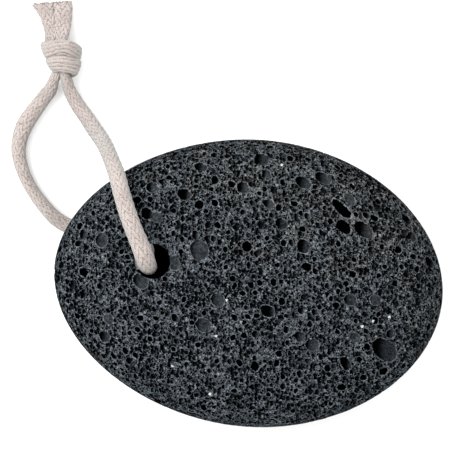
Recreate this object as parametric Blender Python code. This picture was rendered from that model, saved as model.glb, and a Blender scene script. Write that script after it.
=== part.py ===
"""Black pumice foot stone on a knotted loop of braided cotton cord.

Frame: metres, +Z up. The stone lies on the small flat of its broad underside, with +X along its length and its drilled
hole towards -X. The origin is on the surface it lies on, under the middle of the stone. The cord lies beside it on the
same surface, with its knot towards -X +Y.
"""

import math
import random

import bmesh
import bpy
from mathutils import Matrix, Vector
from mathutils.bvhtree import BVHTree

# Stone: an oval pebble, widest halfway up, fuller towards +X and flatter on top than below.
STONE_LENGTH = 0.100
STONE_WIDTH = 0.0736
STONE_THICKNESS = 0.0304
PLAN_FULLNESS = 1.96
TOP_FULLNESS = 2.45
UNDERSIDE_FULLNESS = 2.05
WIDER_END = 0.0325
NARROWER_TIPS = 0.02
LEAN_ALONG = math.radians(3.2)
LEAN_ACROSS = math.radians(1.4)
REST_FLAT_DEPTH = 0.0008
STONE_CUTS = 12

# Hole drilled at a slant, its foot nearer the stone's narrow end, with a broken-out lower mouth.
HOLE_TOP = Vector((-0.0247, 0.0036, 0.0295))
HOLE_FOOT = Vector((-0.0295, 0.0052, 0.0046))
HOLE_DIAMETER = 0.0088
HOLE_SIDES = 24
LOWER_MOUTH_DIAMETER = 0.0140
LOWER_MOUTH_HEIGHT = 0.0046

# Large pits of the top: x, y, mouth across, stretch along its length, turn of that length in degrees.
TOP_PITS = (
    (0.0358, -0.0140, 0.0049, 1.64, -33),
    (0.0260, -0.0181, 0.0024, 1.68, -53),
    (0.0217, 0.0209, 0.0026, 2.48, -41),
    (0.0226, 0.0164, 0.0030, 1.42, -35),
    (0.0276, 0.0161, 0.0035, 1.57, -31),
    (0.0302, 0.0193, 0.0016, 1.46, -20),
    (0.0114, 0.0267, 0.0029, 1.52, -28),
    (0.0164, 0.0283, 0.0030, 1.50, -23),
    (0.0005, 0.0318, 0.0035, 1.11, -35),
    (0.0019, 0.0282, 0.0020, 1.25, -35),
    (-0.0183, 0.0211, 0.0030, 1.17, -25),
    (-0.0143, 0.0188, 0.0023, 1.06, 5),
    (-0.0109, 0.0254, 0.0018, 1.29, -85),
    (0.0067, 0.0158, 0.0026, 1.24, -25),
    (0.0127, 0.0106, 0.0031, 1.20, -60),
    (-0.0014, 0.0093, 0.0025, 1.10, -65),
    (0.0140, 0.0055, 0.0020, 1.38, -23),
    (0.0456, 0.0093, 0.0023, 1.61, -22),
    (0.0404, 0.0155, 0.0022, 1.29, -25),
    (0.0051, -0.0064, 0.0028, 1.36, -25),
    (0.0369, -0.0096, 0.0023, 1.06, 5),
    (0.0257, -0.0019, 0.0028, 1.18, -15),
    (0.0258, 0.0046, 0.0018, 1.07, 5),
    (0.0171, -0.0140, 0.0029, 1.22, -15),
    (0.0138, -0.0122, 0.0024, 1.16, -55),
    (0.0032, -0.0206, 0.0021, 1.12, -55),
    (0.0256, -0.0243, 0.0018, 1.43, -5),
    (0.0360, -0.0195, 0.0023, 1.06, 5),
    (-0.0420, -0.0007, 0.0022, 1.18, -25),
    (-0.0353, -0.0166, 0.0028, 1.09, -55),
    (-0.0037, 0.0241, 0.0028, 1.18, -25),
    (-0.0267, 0.0222, 0.0028, 1.09, -40),
    (-0.0273, 0.0155, 0.0028, 1.18, -55),
    (-0.0301, 0.0187, 0.0020, 1.12, -25),
    (-0.0148, 0.0284, 0.0025, 1.40, -25),
    (0.0031, 0.0205, 0.0023, 1.22, -25),
    (-0.0430, 0.0089, 0.0023, 1.22, -55),
)
TOP_PIT_SIDES = 8

# Smaller pits scattered between those and over the sides and underside, clear of the flat that it rests on.
SCATTER_SEED = 7
SCATTER_TRIES = 900
SCATTER_COUNT = 132
SCATTER_MOUTH = (0.0016, 0.0034)
SCATTER_SIDES = 6
PIT_RINGS = 4
PIT_SPACE = 0.0005
PIT_LIFT = 0.28
PIT_DEPTH = 0.95
HOLE_MARGIN = 0.0015
REST_FLAT_X = 0.0076
REST_FLAT_CLEAR = 0.007

# Cord: soft cotton braid. Route points are x, y, z and the cord's thickness there.
CORD_THICKNESS = 0.0040
CORD_BEVEL_RESOLUTION = 2
CORD_STEP = 0.0030
LOOP_ROUTE = (
    (-0.0519, 0.0489, 0.0038, 0.0030),
    (-0.0508, 0.0459, 0.0027, 0.0034),
    (-0.0485, 0.0423, 0.0022, 0.0038),
    (-0.0458, 0.0391, 0.0027, 0.0040),
    (-0.0430, 0.0357, 0.0062, 0.0040),
    (-0.0402, 0.0324, 0.0120, 0.0040),
    (-0.0378, 0.0285, 0.0186, 0.0040),
    (-0.0357, 0.0244, 0.0238, 0.0040),
    (-0.0340, 0.0200, 0.0273, 0.0040),
    (-0.0323, 0.0159, 0.0294, 0.0040),
    (-0.0304, 0.0118, 0.0308, 0.0040),
    (-0.0283, 0.0078, 0.0316, 0.0040),
    (-0.0271, 0.0051, 0.0310, 0.0040),
    (-0.0260, 0.0027, 0.0287, 0.0040),
    (-0.0256, 0.0021, 0.0255, 0.0040),
    (-0.0262, 0.0026, 0.0200, 0.0040),
    (-0.0270, 0.0034, 0.0140, 0.0040),
    (-0.0275, 0.0041, 0.0092, 0.0038),
    (-0.0285, 0.0046, 0.0052, 0.0035),
    (-0.0306, 0.0052, 0.0026, 0.0032),
    (-0.0336, 0.0061, 0.0017, 0.0031),
    (-0.0370, 0.0071, 0.0019, 0.0036),
    (-0.0412, 0.0083, 0.0021, 0.0040),
    (-0.0460, 0.0097, 0.0021, 0.0040),
    (-0.0510, 0.0118, 0.0021, 0.0040),
    (-0.0543, 0.0145, 0.0021, 0.0040),
    (-0.0574, 0.0179, 0.0021, 0.0040),
    (-0.0599, 0.0214, 0.0021, 0.0040),
    (-0.0618, 0.0253, 0.0021, 0.0040),
    (-0.0628, 0.0290, 0.0021, 0.0040),
    (-0.0626, 0.0327, 0.0021, 0.0040),
    (-0.0615, 0.0363, 0.0021, 0.0040),
    (-0.0594, 0.0401, 0.0021, 0.0038),
    (-0.0569, 0.0440, 0.0022, 0.0036),
    (-0.0551, 0.0470, 0.0028, 0.0032),
    (-0.0547, 0.0486, 0.0036, 0.0030),
)
LEFT_TAIL_ROUTE = (
    (-0.0569, 0.0590, 0.0042, 0.0028),
    (-0.0576, 0.0617, 0.0037, 0.0032),
    (-0.0586, 0.0646, 0.0029, 0.0038),
    (-0.0596, 0.0678, 0.0025, 0.0046),
)
RIGHT_TAIL_ROUTE = (
    (-0.0538, 0.0592, 0.0042, 0.0028),
    (-0.0540, 0.0618, 0.0037, 0.0032),
    (-0.0542, 0.0649, 0.0029, 0.0038),
    (-0.0545, 0.0688, 0.0025, 0.0046),
)

# Knot: the outer shape of an overhand knot tied in both ends at once, two cord widths tall.
KNOT_CENTRE = (-0.0537, 0.0537, 0.0046)
KNOT_WIDTH = 0.0110
KNOT_LENGTH = 0.0096
KNOT_HEIGHT = 0.0090
KNOT_TURN = math.radians(4.9)
KNOT_FULLNESS = 2.6
KNOT_CREASE = 0.10
KNOT_ARCH = 0.22
KNOT_NARROW_FOOT = 0.16
KNOT_SUBDIVISIONS = 3


def clear_scene():
    for obj in list(bpy.data.objects):
        bpy.data.objects.remove(obj, do_unlink=True)


def new_collection(name, cutters=False):
    collection = bpy.data.collections.new(name)
    collection.hide_render = cutters
    bpy.context.scene.collection.children.link(collection)
    return collection


def new_material(name, colour, roughness):
    material = bpy.data.materials.new(name)
    material.use_nodes = True
    shader = material.node_tree.nodes["Principled BSDF"]
    shader.inputs["Base Color"].default_value = (*colour, 1.0)
    shader.inputs["Roughness"].default_value = roughness
    shader.inputs["Metallic"].default_value = 0.0
    material.diffuse_color = (*colour, 1.0)
    return material


def object_from(bm, name, collection, material=None):
    """The bmesh as a named object. Those in the cutters' collection show as wires and stay out of a render."""
    mesh = bpy.data.meshes.new(name)
    bm.to_mesh(mesh)
    bm.free()
    obj = bpy.data.objects.new(name, mesh)
    collection.objects.link(obj)
    if material:
        mesh.materials.append(material)
    if collection.hide_render:
        obj.hide_render = True
        obj.display_type = "WIRE"
    return obj


def cut(obj, cutter, name):
    modifier = obj.modifiers.new(name, "BOOLEAN")
    modifier.operation = "DIFFERENCE"
    modifier.solver = "EXACT"
    modifier.object = cutter


def signed_share(share):
    """A share of 0 to 1 along a cube's face, spread so that the face's rows are even on the ball."""
    return math.tan(share * math.pi / 4)


def pebble_point(way):
    """The pebble's surface in the direction of way, about its own middle and before it leans."""
    fullness = TOP_FULLNESS if way.z > 0 else UNDERSIDE_FULLNESS
    plan = abs(way.x) ** PLAN_FULLNESS + abs(way.y) ** PLAN_FULLNESS
    reach = (plan ** (fullness / PLAN_FULLNESS) + abs(way.z) ** fullness) ** (-1 / fullness)
    along = way.x * reach
    widen = 1 + WIDER_END * along - NARROWER_TIPS * along * along
    return Vector(
        (
            along * STONE_LENGTH / 2,
            way.y * reach * widen * STONE_WIDTH / 2,
            way.z * reach * STONE_THICKNESS / 2,
        )
    )


def settle(bm):
    """Leans the pebble, centres it over the origin and wears its lowest point down to a flat at z = 0."""
    lean = Matrix.Rotation(-LEAN_ACROSS, 3, "X") @ Matrix.Rotation(LEAN_ALONG, 3, "Y")
    bmesh.ops.transform(bm, matrix=lean.to_4x4(), verts=bm.verts)
    low = Vector(min(v.co[axis] for v in bm.verts) for axis in range(3))
    high = Vector(max(v.co[axis] for v in bm.verts) for axis in range(3))
    middle = (low + high) / 2
    bmesh.ops.translate(bm, vec=(-middle.x, -middle.y, -low.z - REST_FLAT_DEPTH), verts=bm.verts)
    whole = bm.verts[:] + bm.edges[:] + bm.faces[:]
    worn = bmesh.ops.bisect_plane(bm, geom=whole, plane_co=(0, 0, 0), plane_no=(0, 0, -1), clear_outer=True)
    rim = [item for item in worn["geom_cut"] if isinstance(item, bmesh.types.BMEdge)]
    bmesh.ops.contextual_create(bm, geom=rim)


def pebble():
    """The plain pebble, before the hole and the pits."""
    bm = bmesh.new()
    bmesh.ops.create_cube(bm, size=2)
    bmesh.ops.subdivide_edges(bm, edges=bm.edges, cuts=STONE_CUTS, use_grid_fill=True)
    for vertex in bm.verts:
        way = Vector(signed_share(share) for share in vertex.co).normalized()
        vertex.co = pebble_point(way)
    settle(bm)
    bmesh.ops.recalc_face_normals(bm, faces=bm.faces)
    return bm


def near_hole(place, mouth):
    below = place.z < STONE_THICKNESS / 2
    end, opening = (HOLE_FOOT, LOWER_MOUTH_DIAMETER) if below else (HOLE_TOP, HOLE_DIAMETER)
    return (place - end).xy.length < opening / 2 + mouth / 2 + HOLE_MARGIN


def add_pit(cutters, place, normal, mouth, stretch=1.0, turn=0.0, sides=SCATTER_SIDES):
    """A bubble of the given mouth width, its middle a little proud of the surface, its length turned about Z."""
    along = Vector((math.cos(turn), math.sin(turn), 0))
    across = normal.cross(along).normalized()
    along = across.cross(normal).normalized()
    radius = mouth / 2 / math.sqrt(1 - PIT_LIFT**2)
    middle = place + normal * radius * PIT_LIFT
    axes = Matrix((along * stretch * radius, across * radius, normal * PIT_DEPTH * radius)).transposed()
    matrix = Matrix.Translation(middle) @ axes.to_4x4()
    bmesh.ops.create_uvsphere(cutters, u_segments=sides, v_segments=PIT_RINGS, radius=1, matrix=matrix)


def scattered_places(bm, rng):
    """Random places on the pebble, even over its area, as (place, normal)."""
    faces = bm.faces[:]
    chosen = rng.choices(faces, weights=[face.calc_area() for face in faces], k=SCATTER_TRIES)
    for face in chosen:
        corners = [vertex.co for vertex in face.verts[:4]]
        shares = [rng.random() for _ in corners]
        place = sum((corner * share for corner, share in zip(corners, shares)), Vector()) / sum(shares)
        yield place, face.normal.copy()


def pit_cutters(bm, collection):
    """Every pit as one object of separate bubbles: the large ones of the top, then smaller ones between them."""
    surface = BVHTree.FromBMesh(bm)
    rng = random.Random(SCATTER_SEED)
    cutters = bmesh.new()
    taken = []
    for x, y, mouth, stretch, turn in TOP_PITS:
        place, normal, _, _ = surface.ray_cast(Vector((x, y, 2 * STONE_THICKNESS)), Vector((0, 0, -1)))
        add_pit(cutters, place, normal, mouth, stretch, math.radians(turn), TOP_PIT_SIDES)
        taken.append((place, mouth * stretch))
    scattered = 0
    for place, normal in scattered_places(bm, rng):
        mouth = rng.uniform(*SCATTER_MOUTH)
        turn = rng.uniform(0, math.pi)
        crowded = any((place - other).length < (mouth + wide) / 2 + PIT_SPACE for other, wide in taken)
        on_rest = place.z < mouth and math.hypot(place.x - REST_FLAT_X, place.y) < REST_FLAT_CLEAR
        if scattered == SCATTER_COUNT or crowded or on_rest or near_hole(place, mouth):
            continue
        add_pit(cutters, place, normal, mouth, turn=turn)
        taken.append((place, mouth))
        scattered += 1
    return object_from(cutters, "pits", collection)


def hole_cutters(collection):
    """The drill, and the cone that it breaks out of the underside."""
    slant = (HOLE_TOP - HOLE_FOOT).to_track_quat("Z", "Y").to_matrix().to_4x4()
    drill = bmesh.new()
    bmesh.ops.create_cone(
        drill,
        cap_ends=True,
        segments=HOLE_SIDES,
        radius1=HOLE_DIAMETER / 2,
        radius2=HOLE_DIAMETER / 2,
        depth=3 * STONE_THICKNESS,
        matrix=Matrix.Translation((HOLE_TOP + HOLE_FOOT) / 2) @ slant,
    )
    mouth = bmesh.new()
    widening = (LOWER_MOUTH_DIAMETER - HOLE_DIAMETER) / LOWER_MOUTH_HEIGHT
    bmesh.ops.create_cone(
        mouth,
        cap_ends=True,
        segments=HOLE_SIDES,
        radius1=(LOWER_MOUTH_DIAMETER + widening * LOWER_MOUTH_HEIGHT) / 2,
        radius2=(HOLE_DIAMETER - widening * LOWER_MOUTH_HEIGHT / 8) / 2,
        depth=LOWER_MOUTH_HEIGHT * 17 / 8,
        matrix=Matrix.Translation((HOLE_FOOT.x, HOLE_FOOT.y, LOWER_MOUTH_HEIGHT / 16)),
    )
    return object_from(drill, "drill", collection), object_from(mouth, "lower_mouth", collection)


def make_stone(parts, cutters):
    bm = pebble()
    pits = pit_cutters(bm, cutters)
    material = new_material("pumice", (0.045, 0.050, 0.055), 0.92)
    stone = object_from(bm, "stone", parts, material)
    drill, mouth = hole_cutters(cutters)
    cut(stone, pits, "pits")
    cut(stone, drill, "drilled hole")
    cut(stone, mouth, "lower mouth")
    return stone


def along_route(route, step):
    """Points about a step apart on the smooth curve through the route, each with its thickness."""
    knots = [Vector(point) for point in route]
    knots = [2 * knots[0] - knots[1], *knots, 2 * knots[-1] - knots[-2]]
    points = []
    for before, start, end, after in zip(knots, knots[1:], knots[2:], knots[3:]):
        pieces = max(1, round((end - start).length / step))
        for piece in range(pieces):
            t = piece / pieces
            straight = start * 2 + (end - before) * t
            bend = (2 * before - 5 * start + 4 * end - after) * t**2
            twist = (3 * start - before - 3 * end + after) * t**3
            points.append((straight + bend + twist) / 2)
    points.append(knots[-2])
    return points


def make_cord(name, route, parts, material):
    """A plain round tube along the route, with flat ends."""
    curve = bpy.data.curves.new(name, "CURVE")
    curve.dimensions = "3D"
    curve.bevel_depth = CORD_THICKNESS / 2
    curve.bevel_resolution = CORD_BEVEL_RESOLUTION
    curve.use_fill_caps = True
    points = along_route(route, CORD_STEP)
    spline = curve.splines.new("POLY")
    spline.points.add(len(points) - 1)
    for target, point in zip(spline.points, points):
        target.co = (*point[:3], 1)
        target.radius = point[3] / CORD_THICKNESS
    curve.materials.append(material)
    obj = bpy.data.objects.new(name, curve)
    parts.objects.link(obj)
    return obj


def knot_point(way):
    """The knot's surface in the direction of way: a squarish lump, creased between its two wraps."""
    reach = sum(abs(share) ** KNOT_FULLNESS for share in way) ** (-1 / KNOT_FULLNESS)
    across, along, up = way * reach
    wrap = along + KNOT_ARCH * (across * across - 0.4)
    crease = 1 - KNOT_CREASE * math.exp(-((wrap / 0.16) ** 2))
    foot = 1 - KNOT_NARROW_FOOT * max(0.0, -along)
    return Vector(
        (
            across * crease * foot * KNOT_WIDTH / 2,
            along * KNOT_LENGTH / 2,
            up * crease * KNOT_HEIGHT / 2,
        )
    )


def make_knot(parts, material):
    bm = bmesh.new()
    bmesh.ops.create_icosphere(bm, subdivisions=KNOT_SUBDIVISIONS, radius=1)
    for vertex in bm.verts:
        vertex.co = knot_point(vertex.co)
    place = Matrix.Translation(KNOT_CENTRE) @ Matrix.Rotation(KNOT_TURN, 4, "Z")
    bmesh.ops.transform(bm, matrix=place, verts=bm.verts)
    return object_from(bm, "cord_knot", parts, material)


def main():
    clear_scene()
    parts = new_collection("pumice stone")
    cutters = new_collection("cutters", cutters=True)
    make_stone(parts, cutters)
    cotton = new_material("cotton", (0.72, 0.63, 0.57), 0.95)
    make_cord("cord_loop", LOOP_ROUTE, parts, cotton)
    make_knot(parts, cotton)
    make_cord("cord_tail_left", LEFT_TAIL_ROUTE, parts, cotton)
    make_cord("cord_tail_right", RIGHT_TAIL_ROUTE, parts, cotton)
    for obj in parts.objects:
        if obj.type == "MESH":
            obj.data.shade_smooth()
            obj.data.set_sharp_from_angle(angle=math.radians(40))


main()
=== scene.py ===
"""Looks of a black pumice foot stone on a knotted loop of braided cotton cord.

Everything is in metres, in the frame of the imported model: +Z up, the stone lying on z = 0 with its length
along +X.
"""

import math
import random

import bmesh
import bpy
import numpy as np
from mathutils import Matrix, Vector
from mathutils.bvhtree import BVHTree


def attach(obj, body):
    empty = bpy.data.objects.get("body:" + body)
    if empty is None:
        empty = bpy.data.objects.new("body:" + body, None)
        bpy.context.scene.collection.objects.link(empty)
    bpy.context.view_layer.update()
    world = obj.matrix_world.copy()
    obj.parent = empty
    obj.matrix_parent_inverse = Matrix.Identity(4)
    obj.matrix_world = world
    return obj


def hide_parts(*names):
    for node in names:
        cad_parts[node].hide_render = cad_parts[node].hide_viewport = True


bl_info = {
    "name": "Pumice Stone on a Cord",
    "version": (1, 0, 0),
    "blender": (4, 5, 0),
    "location": "View3D > Sidebar > Pumice",
    "description": "Builds a pitted pumice stone, its knotted cotton cord and a plain studio around them",
    "category": "Add Mesh",
}

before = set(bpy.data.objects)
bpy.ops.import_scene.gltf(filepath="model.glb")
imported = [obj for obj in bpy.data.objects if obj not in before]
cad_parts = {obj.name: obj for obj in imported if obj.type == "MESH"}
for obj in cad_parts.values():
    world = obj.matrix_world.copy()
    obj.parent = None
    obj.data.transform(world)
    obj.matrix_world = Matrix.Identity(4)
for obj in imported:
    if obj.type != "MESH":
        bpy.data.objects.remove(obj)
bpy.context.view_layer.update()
MM = 0.001
DOWN = Vector((0, 0, -1))
HIGH_ABOVE = 1.0

# The pebble's form and its hole, as in the solid.
PLAN_FULLNESS = 1.96
TOP_FULLNESS = 2.45
UNDERSIDE_FULLNESS = 2.05
WIDER_END = 0.0325
NARROWER_TIPS = 0.02
LEAN_ALONG = math.radians(3.2)
LEAN_ACROSS = math.radians(1.4)
REST_FLAT_DEPTH = 0.0008
HOLE_TOP = np.array((-0.0247, 0.0036, 0.0295))
HOLE_FOOT = np.array((-0.0295, 0.0052, 0.0046))
LOWER_MOUTH_DIAMETER = 0.0140
HOLE_EDGE = 0.05 * MM

# The stone's mesh: cuts across each face of the cube that it starts from, how much closer together its points
# are on top than at the sides, how far below halfway the fine upper part begins, on a cube of 2, and rings of
# points down the hole.
UNDERSIDE_CUTS = 78
TOP_CROWDING = 1.6
JUST_BELOW = 0.01
HOLE_RINGS = 24

# Large pits of the top: x, y, mouth across, stretch along its length, turn of that length in degrees, how
# far its painted shade reaches along the light as a share of its half width, and its depth as a share of its
# mouth.
TOP_PITS = (
    (0.0358, -0.0140, 0.0049, 1.64, -33, -0.1, 0.50),
    (0.0260, -0.0181, 0.0024, 1.68, -53, 0.5, 0.45),
    (0.0217, 0.0209, 0.0026, 2.48, -41, 1.3, 0.60),
    (0.0226, 0.0164, 0.0030, 1.42, -35, 1.1, 0.60),
    (0.0276, 0.0161, 0.0035, 1.57, -31, 0.1, 0.45),
    (0.0302, 0.0193, 0.0016, 1.46, -20, 1.2, 0.50),
    (0.0114, 0.0267, 0.0029, 1.52, -28, -0.1, 0.40),
    (0.0164, 0.0283, 0.0030, 1.50, -23, -0.2, 0.35),
    (0.0005, 0.0318, 0.0035, 1.11, -35, -0.2, 0.40),
    (0.0019, 0.0282, 0.0020, 1.25, -35, -0.2, 0.35),
    (-0.0183, 0.0211, 0.0030, 1.17, -25, 0.3, 0.50),
    (-0.0143, 0.0188, 0.0023, 1.06, 5, 1.0, 0.50),
    (-0.0109, 0.0254, 0.0018, 1.29, -85, 1.1, 0.50),
    (0.0067, 0.0158, 0.0026, 1.24, -25, -0.1, 0.40),
    (0.0127, 0.0106, 0.0031, 1.20, -60, 0.1, 0.50),
    (-0.0014, 0.0093, 0.0025, 1.10, -65, 0.9, 0.50),
    (0.0140, 0.0055, 0.0020, 1.38, -23, 1.2, 0.55),
    (0.0456, 0.0093, 0.0023, 1.61, -22, 0.6, 0.50),
    (0.0404, 0.0155, 0.0022, 1.29, -25, -0.1, 0.35),
    (0.0051, -0.0064, 0.0028, 1.36, -25, 0.5, 0.45),
    (0.0369, -0.0096, 0.0023, 1.06, 5, -0.1, 0.40),
    (0.0257, -0.0019, 0.0028, 1.18, -15, -0.5, 0.35),
    (0.0258, 0.0046, 0.0018, 1.07, 5, 1.1, 0.55),
    (0.0171, -0.0140, 0.0029, 1.22, -15, -0.5, 0.30),
    (0.0138, -0.0122, 0.0024, 1.16, -55, -0.3, 0.35),
    (0.0032, -0.0206, 0.0021, 1.12, -55, 1.1, 0.55),
    (0.0256, -0.0243, 0.0018, 1.43, -5, 1.2, 0.50),
    (0.0360, -0.0195, 0.0023, 1.06, 5, 1.0, 0.50),
    (-0.0420, -0.0007, 0.0022, 1.18, -25, 0.9, 0.50),
    (-0.0353, -0.0166, 0.0028, 1.09, -55, -0.4, 0.35),
    (-0.0133, 0.0074, 0.0044, 1.20, -55, -0.8, 0.16),
    (-0.0381, 0.0078, 0.0032, 1.20, -75, -0.7, 0.16),
    (-0.0273, -0.0016, 0.0035, 1.21, -45, -0.6, 0.18),
    (-0.0037, 0.0241, 0.0028, 1.18, -25, -0.1, 0.30),
    (-0.0106, -0.0113, 0.0034, 1.19, -35, -0.7, 0.18),
    (-0.0076, -0.0047, 0.0031, 1.20, -35, -0.6, 0.18),
    (-0.0346, -0.0119, 0.0024, 1.16, -55, -1.2, 0.10),
    (-0.0267, 0.0222, 0.0028, 1.09, -40, -0.2, 0.25),
    (-0.0273, 0.0155, 0.0028, 1.18, -55, 0.6, 0.35),
    (-0.0301, 0.0187, 0.0020, 1.12, -25, 1.1, 0.50),
    (-0.0148, 0.0284, 0.0025, 1.40, -25, -0.1, 0.30),
    (-0.0192, 0.0036, 0.0025, 1.50, -65, -1.1, 0.12),
    (-0.0247, 0.0147, 0.0024, 1.26, -40, -1.1, 0.10),
    (0.0031, 0.0205, 0.0023, 1.22, -25, -0.2, 0.30),
    (-0.0430, 0.0089, 0.0023, 1.22, -55, -0.2, 0.30),
    (-0.0442, 0.0109, 0.0018, 1.14, -55, 1.0, 0.50),
    (0.0235, 0.0235, 0.0025, 1.40, -45, -1.2, 0.10),
    (0.0321, -0.0014, 0.0025, 1.20, -15, -0.9, 0.12),
    (0.0277, -0.0113, 0.0023, 1.22, -25, -0.9, 0.12),
)

# White crystals of the top: x, y.
CRYSTALS = (
    (-0.0053, -0.0045),
    (-0.0072, -0.0138),
    (-0.0176, -0.0223),
    (-0.0075, -0.0286),
    (-0.0013, -0.0097),
    (0.0293, -0.0083),
    (0.0319, -0.0068),
    (0.0360, -0.0054),
    (0.0057, 0.0306),
)

# Smaller pits scattered all over, the same each time. Those above the top's level are the smallest. Their
# turn is a mean and a spread, in radians, past the run of the pores. The other pairs are a least and a most.
EXTRA_SEED = 7
EXTRA_PITS = 300
EXTRA_MOUTH = (1.2 * MM, 2.8 * MM)
EXTRA_TOP_MOUTH = 1.7 * MM
EXTRA_STRETCH = (1.0, 1.5)
EXTRA_TURN = (0.3, 0.5)
# How far each pit's painted shade reaches along the light, least and most, as for the large pits.
EXTRA_BLACKNESS = (0.1, 1.2)
EXTRA_DEPTH = (0.35, 0.55)
TOP_LEVEL = 20 * MM
PIT_FULLNESS = 2.6
FAR_FROM_PITS = 1.0 * MM

# Cord round the loop, from the knot's right foot: x, y, z, its width and its depth there.
LOOP_ROUTE = (
    (-0.0508, 0.0459, 0.0027, 0.0034, 0.0034),
    (-0.0485, 0.0423, 0.0022, 0.0039, 0.0038),
    (-0.0458, 0.0391, 0.0027, 0.0041, 0.0040),
    (-0.0430, 0.0357, 0.0062, 0.0043, 0.0040),
    (-0.0402, 0.0324, 0.0120, 0.0042, 0.0040),
    (-0.0378, 0.0285, 0.0186, 0.0042, 0.0040),
    (-0.0357, 0.0244, 0.0238, 0.0044, 0.0040),
    (-0.0340, 0.0200, 0.0273, 0.0044, 0.0041),
    (-0.0323, 0.0159, 0.0294, 0.0045, 0.0041),
    (-0.0304, 0.0118, 0.0308, 0.0045, 0.0041),
    (-0.0283, 0.0078, 0.0315, 0.0047, 0.0042),
    (-0.0270, 0.0050, 0.0309, 0.0048, 0.0043),
    (-0.0260, 0.0027, 0.0287, 0.0046, 0.0043),
    (-0.0256, 0.0021, 0.0255, 0.0042, 0.0042),
    (-0.0262, 0.0026, 0.0200, 0.0040, 0.0040),
    (-0.0270, 0.0034, 0.0140, 0.0040, 0.0040),
    (-0.0275, 0.0041, 0.0092, 0.0038, 0.0038),
    (-0.0285, 0.0046, 0.0052, 0.0035, 0.0035),
    (-0.0306, 0.0052, 0.0026, 0.0034, 0.0032),
    (-0.0336, 0.0061, 0.0017, 0.0036, 0.0031),
    (-0.0370, 0.0071, 0.0019, 0.0039, 0.0036),
    (-0.0412, 0.0083, 0.0021, 0.0041, 0.0040),
    (-0.0460, 0.0097, 0.0021, 0.0041, 0.0040),
    (-0.0510, 0.0118, 0.0021, 0.0040, 0.0040),
    (-0.0543, 0.0145, 0.0021, 0.0037, 0.0039),
    (-0.0574, 0.0179, 0.0021, 0.0035, 0.0038),
    (-0.0599, 0.0214, 0.0021, 0.0034, 0.0038),
    (-0.0618, 0.0253, 0.0021, 0.0036, 0.0038),
    (-0.0628, 0.0290, 0.0021, 0.0039, 0.0039),
    (-0.0626, 0.0327, 0.0021, 0.0043, 0.0040),
    (-0.0615, 0.0363, 0.0021, 0.0046, 0.0040),
    (-0.0594, 0.0400, 0.0021, 0.0043, 0.0039),
    (-0.0569, 0.0440, 0.0022, 0.0039, 0.0037),
)

# The knot's place, its turn, and how much its flat sides face along it. In millimetres along it, where its
# strands become flat tails and how far its yarns are tight. Then the way that both cuts face, and the length
# of cord that turns towards it.
KNOT_CENTRE = Vector((-0.0537, 0.0537, 0.0046))
KNOT_TURN = math.radians(4.9)
KNOT_TAPER = 1.4
TAILS_START = (3.4, 5.6)
TIGHT_REACH = 4.5
CUT_TURN = math.radians(9.6)
CUT_WAY = np.array((-math.sin(CUT_TURN), math.cos(CUT_TURN), 0))
CUT_REACH = 3.0 * MM

# The knot's two strands in its frame, in millimetres: across, along, up, the strand's width and its depth.
LEFT_STRAND = (
    (-2.9, -8.0, -2.3, 3.9, 3.6),
    (-1.9, -5.6, -1.4, 2.9, 2.9),
    (-1.0, -3.7, -0.6, 2.6, 2.6),
    (-0.2, -1.5, -0.2, 2.4, 2.4),
    (0.6, 1.0, -0.3, 2.4, 2.4),
    (1.2, 2.9, -0.7, 2.6, 2.4),
    (1.2, 3.7, -2.0, 3.0, 2.4),
    (-0.5, 3.5, -3.1, 3.6, 2.4),
    (-2.7, 2.9, -2.4, 4.0, 2.4),
    (-3.85, 2.35, -0.2, 4.6, 2.4),
    (-2.9, 2.15, 2.0, 4.4, 2.4),
    (-0.6, 2.55, 3.1, 4.2, 2.4),
    (1.9, 2.5, 2.9, 4.3, 2.4),
    (3.6, 1.7, 1.5, 4.4, 2.4),
    (4.15, 0.9, -0.6, 4.2, 2.4),
    (3.0, -0.4, -2.6, 3.6, 2.4),
    (0.9, -1.0, -3.2, 3.4, 2.4),
    (-0.6, -1.2, -2.2, 2.8, 2.4),
    (-1.2, -0.8, -0.8, 2.4, 2.4),
    (-1.3, 0.6, 0.1, 2.4, 2.4),
    (-1.7, 2.6, 0.3, 2.4, 2.4),
    (-2.35, 5.0, -0.4, 3.4, 2.4),
    (-2.65, 7.2, -1.6, 3.4, 2.4),
    (-3.25, 9.9, -2.5, 3.8, 2.3),
    (-3.85, 12.2, -2.9, 4.4, 2.1),
    (-4.4, 13.6, -3.1, 5.5, 1.85),
    (-4.75, 14.55, -3.2, 6.2, 1.7),
)
RIGHT_STRAND = (
    (1.6, -5.6, -0.9, 2.9, 2.9),
    (1.0, -3.7, -0.2, 2.6, 2.6),
    (0.9, -1.5, 0.6, 2.4, 2.4),
    (1.4, 1.0, 0.6, 2.4, 2.4),
    (2.1, 2.7, 0.0, 2.6, 2.4),
    (2.6, 3.1, -1.5, 2.8, 2.4),
    (1.5, 2.0, -2.9, 3.2, 2.4),
    (-0.8, 0.9, -3.1, 3.4, 2.4),
    (-2.2, -0.5, -1.9, 3.4, 2.3),
    (-2.4, -1.4, 0.0, 4.0, 2.3),
    (-1.6, -1.45, 2.0, 4.3, 2.3),
    (0.35, -1.45, 2.9, 4.3, 2.3),
    (2.4, -1.75, 2.3, 4.2, 2.3),
    (4.0, -2.2, 0.5, 4.3, 2.3),
    (3.0, -3.0, -1.7, 3.6, 2.3),
    (0.9, -3.2, -2.5, 3.0, 2.3),
    (-0.5, -2.7, -1.7, 2.6, 2.3),
    (-0.8, -1.6, -0.3, 2.4, 2.4),
    (-0.4, 0.5, 0.5, 2.4, 2.4),
    (0.0, 3.0, 0.6, 2.5, 2.4),
    (0.05, 5.4, -0.3, 3.7, 2.4),
    (0.3, 8.0, -1.6, 4.5, 2.4),
    (0.4, 10.5, -2.6, 4.8, 2.3),
    (0.46, 13.0, -3.0, 5.0, 2.0),
    (0.4, 14.9, -3.2, 5.15, 1.7),
)
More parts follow.
